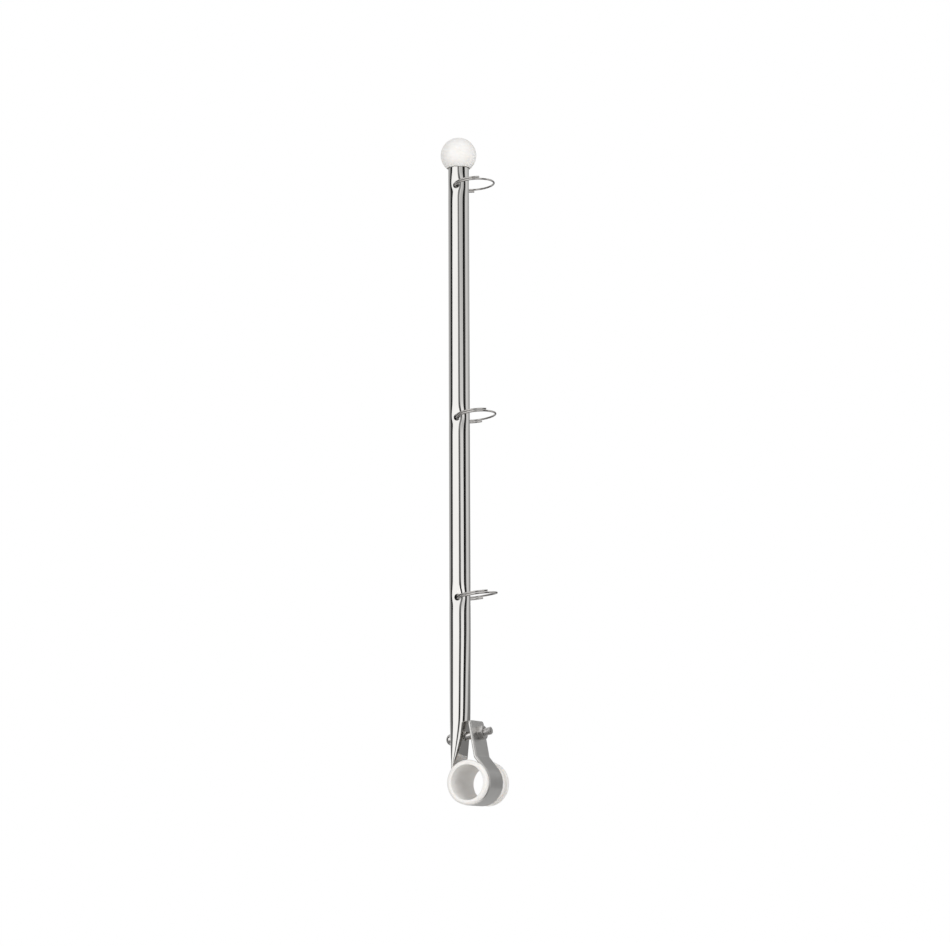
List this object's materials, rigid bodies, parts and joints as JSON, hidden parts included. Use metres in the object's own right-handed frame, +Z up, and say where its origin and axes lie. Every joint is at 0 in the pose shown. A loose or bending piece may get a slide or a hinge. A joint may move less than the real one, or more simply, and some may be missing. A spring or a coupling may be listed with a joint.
{
  "type": "rail-clamp boat flagstaff",
  "caption": "Short stainless boat flagstaff that clamps round a rail on a nylon liner, with a ball top and split rings for the flag.",
  "frame": {"origin": "middle of the rail bore in the clamp's nylon liner", "axes": "+Z up the pole, +Y along the rail, +X from the pole's side of the clamp towards its bolted ear"},
  "size_m": [0.0362, 0.034, 0.4271],
  "materials": {
    "polished_steel": "mirror polished stainless steel",
    "ring_steel": "bright drawn stainless wire",
    "bolt_steel": "turned stainless steel",
    "white_nylon": "moulded white nylon, soft sheen"
  },
  "bodies": {
    "staff": {"pole_tube": "polished_steel", "ball_finial": "white_nylon", "rail_liner": "white_nylon", "clamp_bolt": "bolt_steel", "clamp_nut": "bolt_steel"},
    "ring_top": {"ring_top": "ring_steel"},
    "ring_middle": {"ring_middle": "ring_steel"},
    "ring_bottom": {"ring_bottom": "ring_steel"}
  },
  "joints": [
    {"name": "ring_top_swing", "type": "hinge", "parent": "staff", "child": "ring_top", "pos_m": [-0.0106, -0.0034, 0.3809], "axis": [0.1564, -0.9877, 0], "range_deg": [-73.5, 44.5]},
    {"name": "ring_middle_swing", "type": "hinge", "parent": "staff", "child": "ring_middle", "pos_m": [-0.0106, -0.0034, 0.2304], "axis": [0.1564, -0.9877, 0], "range_deg": [-75.6, 60.4]},
    {"name": "ring_bottom_swing", "type": "hinge", "parent": "staff", "child": "ring_bottom", "pos_m": [-0.0106, -0.0034, 0.1161], "axis": [0.1564, -0.9877, 0], "range_deg": [-75.6, 60.4]}
  ]
}
